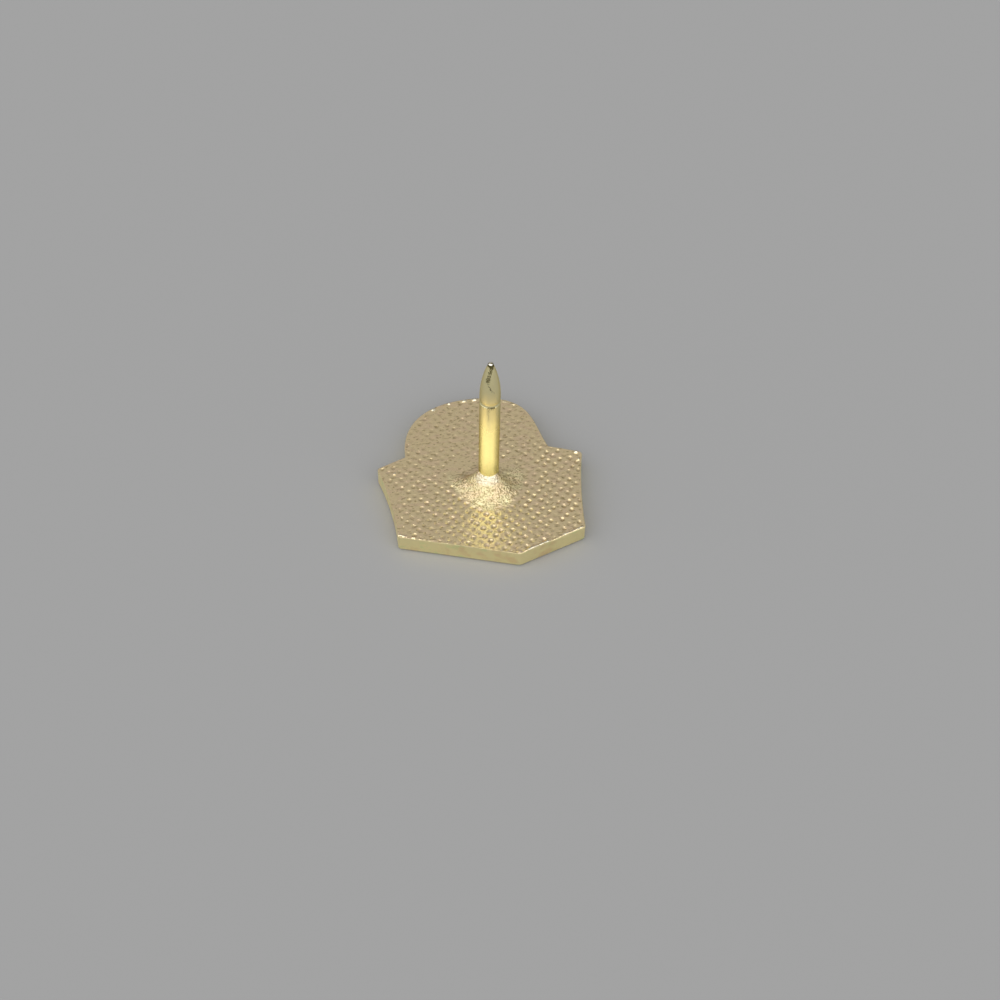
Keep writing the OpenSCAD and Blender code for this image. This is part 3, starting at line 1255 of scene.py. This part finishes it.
class Shader:
    """Adds nodes to one node tree."""

    def __init__(self, tree: bpy.types.NodeTree) -> None:
        """Starts with an empty tree."""
        self.tree = tree
        tree.nodes.clear()

    def node(self, kind: str, settings: dict[str, object], sockets: dict[object, object]) -> bpy.types.Node:
        """Adds a node, makes its settings and then sets or links its sockets.

        Args:
            kind: The node's type.
            settings: The node's own properties, set before its sockets.
            sockets: For each input, by name or number, a value or a Wire.

        Returns:
            The node.
        """
        made = self.tree.nodes.new(kind)
        for name, value in settings.items():
            setattr(made, name, value)
        for name, value in sockets.items():
            if isinstance(value, Wire):
                self.tree.links.new(value.socket, made.inputs[name])
            else:
                made.inputs[name].default_value = value
        return made

    def wire(
        self, kind: str, settings: dict[str, object], sockets: dict[object, object], output: object = 0
    ) -> Wire:
        """Adds a node and gives one of its outputs."""
        return Wire(self, self.node(kind, settings, sockets).outputs[output])

    def attribute(self, name: str) -> Wire:
        """A named attribute of the mesh, as a number."""
        return self.wire("ShaderNodeAttribute", {"attribute_name": name}, {}, "Fac")

    def noise(self, size: float, detail: float = 2.0, squeeze: Triple = (1.0, 1.0, 1.0)) -> Wire:
        """Smooth noise between 0 and 1 on the object's own coordinates.

        Args:
            size: Size of its features, mm.
            detail: How much finer noise is added.
            squeeze: Scale of the coordinates along each axis; below 1 the features are drawn out along it.

        Returns:
            The noise.
        """
        place = self.wire("ShaderNodeTexCoord", {}, {}, "Object")
        place = self.wire("ShaderNodeVectorMath", {"operation": "MULTIPLY"}, {0: place, 1: squeeze})
        sockets = {"Vector": place, "Scale": 1.0 / (size * MM), "Detail": detail}
        return self.wire("ShaderNodeTexNoise", {}, sockets, "Fac")

    def mix(self, share: Wire, first: "Wire | Colour", second: "Wire | Colour") -> Wire:
        """Mixes two colours, by the numbers of the Mix node's sockets for colours."""
        return self.wire("ShaderNodeMix", {"data_type": "RGBA"}, {0: share, 6: first, 7: second}, 2)

    def bump(self, height: Wire) -> Wire:
        """The normal of a surface that is raised by a height in millimetres."""
        return self.wire("ShaderNodeBump", {}, {"Strength": 1.0, "Distance": MM, "Height": height}, "Normal")

    def close(self, sockets: dict[object, object]) -> None:
        """Ends the tree with a Principled shader that has these values and links."""
        surface = self.wire("ShaderNodeBsdfPrincipled", {}, sockets)
        self.node("ShaderNodeOutputMaterial", {}, {"Surface": surface})


def coat(piece: bpy.types.Object, name: str) -> Shader:
    """Gives a piece a new material.

    Args:
        piece: The piece.
        name: The material's name.

    Returns:
        The material's shader, still empty.
    """
    material = bpy.data.materials.new(name)
    material.use_nodes = True
    piece.data.materials.append(material)
    return Shader(material.node_tree)


@dataclass(frozen=True)
class Mottle:
    """A pattern of smooth noise: its size in mm, detail and strength, and the span of its spots' edges."""

    size: float
    detail: float
    strength: float
    span: Span = (0.0, 1.0)
    squeeze: Triple = (1.0, 1.0, 1.0)

    def plain(self, s: Shader) -> Wire:
        """The noise itself, times the strength."""
        return s.noise(self.size, self.detail, self.squeeze) * self.strength

    def spots(self, s: Shader) -> Wire:
        """Spots: the noise eased from 0 to 1 over the span, times the strength."""
        return s.noise(self.size, self.detail, self.squeeze).eased(self.span) * self.strength


@dataclass(frozen=True)
class Gold:
    """Pale gold plating: one colour on open metal, others in the pits as painted shade, on the solder, where a
    painted highlight lies, and on the cut wall.
    """

    land: Colour = (0.925, 0.75, 0.446, 1.0)
    # Painted shade: the pits are painted darker with their depth.
    pit: Colour = (0.66, 0.52, 0.29, 1.0)
    pink: Colour = (0.94, 0.705, 0.475, 1.0)
    fleck: Colour = (0.42, 0.32, 0.14, 1.0)
    skirt: Colour = (0.93, 0.82, 0.50, 1.0)
    # Colour of the painted highlight on the solder's front and on the rim's glints.
    solder: Colour = (1.0, 0.92, 0.70, 1.0)
    wall: Colour = (0.97, 0.865, 0.49, 1.0)
    wall_brown: Colour = (0.88, 0.69, 0.38, 1.0)
    wall_green: Colour = (0.78, 0.84, 0.42, 1.0)
    # Share of the painted shade in the pits.
    pit_shade_share: float = 0.7
    grain_size: float = 0.1
    grain_height: float = 0.06
    # The painted highlight's ragged edge and the span it eases over.
    white_ragged: float = 1.8
    white_span: Span = (0.15, 0.75)
    pock_span: Span = (0.53, 0.6)
    pock_share: float = 0.75
    roughness: float = 0.3
    solder_roughness: float = 0.5
    wall_roughness: float = 0.55
    white_polish: float = 0.15
    cloud_size: float = 1.6
    cloud: float = 0.08
    pink_spots: Mottle = Mottle(0.4, 1.0, 0.5, (0.45, 0.65), ACROSS)
    flecks: Mottle = Mottle(0.12, 1.0, 0.7, (0.58, 0.7), ACROSS)
    brown_spots: Mottle = Mottle(0.9, 2.0, 0.7, (0.5, 0.68))
    green_spots: Mottle = Mottle(0.7, 2.0, 0.6, (0.55, 0.7))
    skin: Mottle = Mottle(0.05, 3.0, 0.002)
    scuffs: Mottle = Mottle(0.15, 2.0, 0.026, squeeze=ACROSS)
    wall_lines: Mottle = Mottle(0.11, 1.0, 0.016, squeeze=(1.0, 1.0, 0.15))

    def dress(self, piece: bpy.types.Object) -> None:
        """Gives the plate its plating.

        Args:
            piece: The plate, with its attributes for the painted shade in the pits, the solder, the painted
                highlight and the wall.
        """
        s = coat(piece, "plate_gold")
        grain = s.noise(self.grain_size)
        # The painted highlight, its edge made ragged by the grain.
        white = (s.attribute("white") + grain.centred(self.white_ragged)).eased(self.white_span)
        s.close(
            {
                "Base Color": self._colour(s, grain, white),
                "Metallic": 1.0,
                "Roughness": self._roughness(s, white),
                "Normal": s.bump(self._height(s, grain)),
            }
        )

    def _colour(self, s: Shader, grain: Wire, white: Wire) -> Wire:
        """Colour of the metal and its pits, painted darker as painted shade, then of the solder with its
        painted highlight, the spots and the flecks, last of the wall.

        Args:
            s: The plate's shader.
            grain: The noise of the solder's grain.
            white: How far the metal is painted whiter as painted highlight, with a ragged edge.

        Returns:
            The colour.
        """
        solder, wall = s.attribute("solder"), s.attribute("wall")
        # Painted shade: the pits are painted darker with their depth.
        colour = s.mix(s.attribute("pit") * self.pit_shade_share, self.land, self.pit)
        colour = s.mix(solder, colour, self.skirt)
        # Painted highlight: the solder's front and the rim's glints are painted whiter.
        colour = s.mix(white, colour, self.solder)
        colour = s.mix(self.pink_spots.spots(s) * (1.0 - wall), colour, self.pink)
        colour = s.mix(self.flecks.spots(s) * (1.0 - wall), colour, self.fleck)
        pock = grain.eased(self.pock_span) * solder * (1.0 - s.attribute("white"))
        colour = s.mix(pock * self.pock_share, colour, self.fleck)
        side = s.mix(self.brown_spots.spots(s), self.wall, self.wall_brown)
        side = s.mix(self.green_spots.spots(s), side, self.wall_green)
        return s.mix(wall, colour, side)

    def _roughness(self, s: Shader, white: Wire) -> Wire:
        """Roughness: cloudy all over, more on the solder and the wall, less under the painted highlight.

        Args:
            s: The plate's shader.
            white: How far the metal is painted whiter as painted highlight, with a ragged edge.

        Returns:
            The roughness.
        """
        rough = self.roughness + s.noise(self.cloud_size).centred(self.cloud)
        rough = rough + s.attribute("solder") * (self.solder_roughness - self.roughness)
        rough = rough - white * self.white_polish
        return rough + s.attribute("wall") * (self.wall_roughness - self.roughness)

    def _height(self, s: Shader, grain: Wire) -> Wire:
        """Height of the fine relief, mm: a skin all over, grain on the solder, scuffs, lines down the wall.

        Args:
            s: The plate's shader.
            grain: The noise of the solder's grain.

        Returns:
            The height.
        """
        wall = s.attribute("wall")
        height = self.skin.plain(s) + grain * s.attribute("solder") * self.grain_height
        height = height + self.scuffs.plain(s) * (1.0 - wall)
        return height + self.wall_lines.plain(s) * wall


@dataclass(frozen=True)
class PostGold:
    """The post's brighter, yellower plating, paler towards its point, with dark marks, painted shade, shadow
    and reflection, and a painted highlight at the tip.
    """

    metal: Colour = (0.98, 1.0, 0.62, 1.0)
    upper: Colour = (1.0, 0.905, 0.52, 1.0)
    edge: Colour = (0.70, 0.60, 0.36, 1.0)
    # Colour of the dark marks and of the painted shade, shadow and reflection.
    dark: Colour = (0.15, 0.13, 0.045, 1.0)
    # Colour of the painted highlight on the tip.
    bare: Colour = (1.0, 0.97, 0.9, 1.0)
    upper_span: Span = (4.0, 8.0)
    tip_highlight_span: Span = (9.86, 9.92)
    ragged_size: float = 0.055
    ragged: float = 2.8
    dark_span: Span = (0.4, 0.7)
    near_span: Span = (0.05, 0.3)
    roughness: float = 0.25
    upper_roughness: float = 0.38
    dark_roughness: float = 0.2
    cloud_size: float = 0.5
    cloud: float = 0.08
    skin: Mottle = Mottle(0.06, 3.0, 0.0016)
    flare: float = 0.058
    flare_top: float = 8.2

    def dress(self, piece: bpy.types.Object) -> None:
        """Gives the post its plating.

        Args:
            piece: The post, with its attributes of dark marks and painted shade, and of height.
        """
        s = coat(piece, "post_gold")
        streak, height = s.attribute("streak"), s.attribute("height")
        ragged = streak + s.noise(self.ragged_size).centred(self.ragged)
        share = ragged.eased(self.dark_span) * streak.eased(self.near_span)
        high = height.eased(self.upper_span)
        colour = s.mix(share, s.mix(high, self.metal, self.upper), self.dark)
        # The tip is painted whiter where it isn't dark: a painted highlight.
        colour = s.mix(height.eased(self.tip_highlight_span) * (1.0 - share), colour, self.bare)
        rough = self.roughness + share * self.dark_roughness + s.noise(self.cloud_size).centred(self.cloud)
        rough = rough + high * (self.upper_roughness - self.roughness)
        raised = self.skin.plain(s) + height.least(self.flare_top) * self.flare
        s.close(
            {
                "Base Color": colour,
                "Metallic": 1.0,
                "Roughness": rough,
                "Specular Tint": self.edge,
                "Normal": s.bump(raised),
            }
        )


@dataclass(frozen=True)
class Studio:
    """Plain pale floor and soft light from all round, brighter on the camera's side."""

    floor_z: float = -0.004
    floor_size: float = 1200.0
    floor_lines: int = 13
    floor_colour: Colour = (0.378, 0.378, 0.378, 1.0)
    floor_roughness: float = 0.9
    floor_gloss: float = 0.1
    light: Colour = (1.0, 1.0, 1.0, 1.0)
    bright_side: Point = (-0.405, -0.914)
    side_span: Span = (-0.08, 0.14)
    rise_span: Span = (0.05, 0.3)
    low_span: Span = (0.0, 0.6)
    far_level: float = 0.465
    near_level: float = 1.66
    low_share: float = 0.38

    def floor(self) -> bpy.types.Object:
        """Makes the floor that the pin lies on: a flat square grid, with its middle under the pin.

        Returns:
            The floor.
        """
        half = self.floor_size / 2.0
        side = np.linspace(-half, half, self.floor_lines)
        x, y = np.meshgrid(side, side, indexing="ij")
        maker = MeshMaker("floor")
        maker.add(np.column_stack([x.ravel(), y.ravel(), np.full(x.size, self.floor_z)]))
        n = len(side)
        i, j = np.meshgrid(np.arange(n - 1), np.arange(n - 1), indexing="ij")
        corner = (i * n + j).ravel()
        maker.quads.append(np.stack([corner, corner + n, corner + n + 1, corner + 1], 1))
        piece = maker.build()
        s = coat(piece, "plain_floor")
        s.close(
            {
                "Base Color": self.floor_colour,
                "Roughness": self.floor_roughness,
                "Specular IOR Level": self.floor_gloss,
            }
        )
        return piece

    def sky(self) -> None:
        """Lights the scene from all round: brighter high up and on the camera's side, darker low down."""
        world = bpy.data.worlds.new("soft_sky")
        world.use_nodes = True
        bpy.context.scene.world = world
        s = Shader(world.node_tree)
        direction = s.wire("ShaderNodeTexCoord", {}, {}, "Generated")
        parts = s.node("ShaderNodeSeparateXYZ", {}, {0: direction})
        x, y, z = (Wire(s, socket) for socket in parts.outputs)
        near = x * self.bright_side[0] + y * self.bright_side[1]
        near = near.eased(self.side_span) * z.eased(self.rise_span)
        level = self.far_level + (self.near_level - self.far_level) * near
        level = level * at_least(self.low_share, z.eased(self.low_span))
        back = s.wire("ShaderNodeBackground", {}, {"Color": self.light, "Strength": level})
        s.node("ShaderNodeOutputWorld", {}, {"Surface": back})


@dataclass(frozen=True)
class PhotoCamera:
    """The camera at the photo's viewing angle."""

    place: Triple = (-10.7037, -67.4035, 79.9419)
    look: Triple = (0.110965, 0.634494, -0.764921)
    roll: float = 1.6
    lens: float = 63.0
    sensor: float = 36.0
    clip_near: float = 5.0
    clip_far: float = 5000.0

    def build(self) -> None:
        """Sets the camera looking along its line, turned about it by the roll."""
        data = bpy.data.cameras.new("photo_camera")
        data.lens = self.lens
        data.sensor_width = self.sensor
        data.clip_start = self.clip_near * MM
        data.clip_end = self.clip_far * MM
        camera = bpy.data.objects.new("photo_camera", data)
        forward = Vector(self.look).normalized()
        level = forward.cross(Vector((0.0, 0.0, 1.0))).normalized()
        above = level.cross(forward)
        r = math.radians(self.roll)
        right = level * math.cos(r) + above * math.sin(r)
        up = above * math.cos(r) - level * math.sin(r)
        turn = Matrix((right, up, -forward)).transposed().to_4x4()
        camera.matrix_world = Matrix.Translation(Vector(self.place) * MM) @ turn
        bpy.context.scene.collection.objects.link(camera)
        bpy.context.scene.camera = camera


def report(piece: bpy.types.Object) -> None:
    """Logs a piece's name and how many vertices and faces it has."""
    log.info("%s: %d vertices, %d faces", piece.name, len(piece.data.vertices), len(piece.data.polygons))


def adopt(piece: bpy.types.Object) -> None:
    """Joins a finished piece to the frame and reports it.

    Args:
        piece: The piece, built and dressed.
    """
    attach(piece, ROOT)
    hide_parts(NODE)
    report(piece)


def main() -> None:
    """Builds the pin, the studio and the camera."""
    logging.basicConfig(level=logging.INFO, format="%(name)s: %(message)s")
    plate = Plate().build()
    Gold().dress(plate)
    adopt(plate)
    post = Post().build()
    PostGold().dress(post)
    adopt(post)
    studio = Studio()
    report(studio.floor())
    studio.sky()
    PhotoCamera().build()
    bpy.context.scene.view_settings.view_transform = "Standard"


if __name__ == "__main__":
    main()
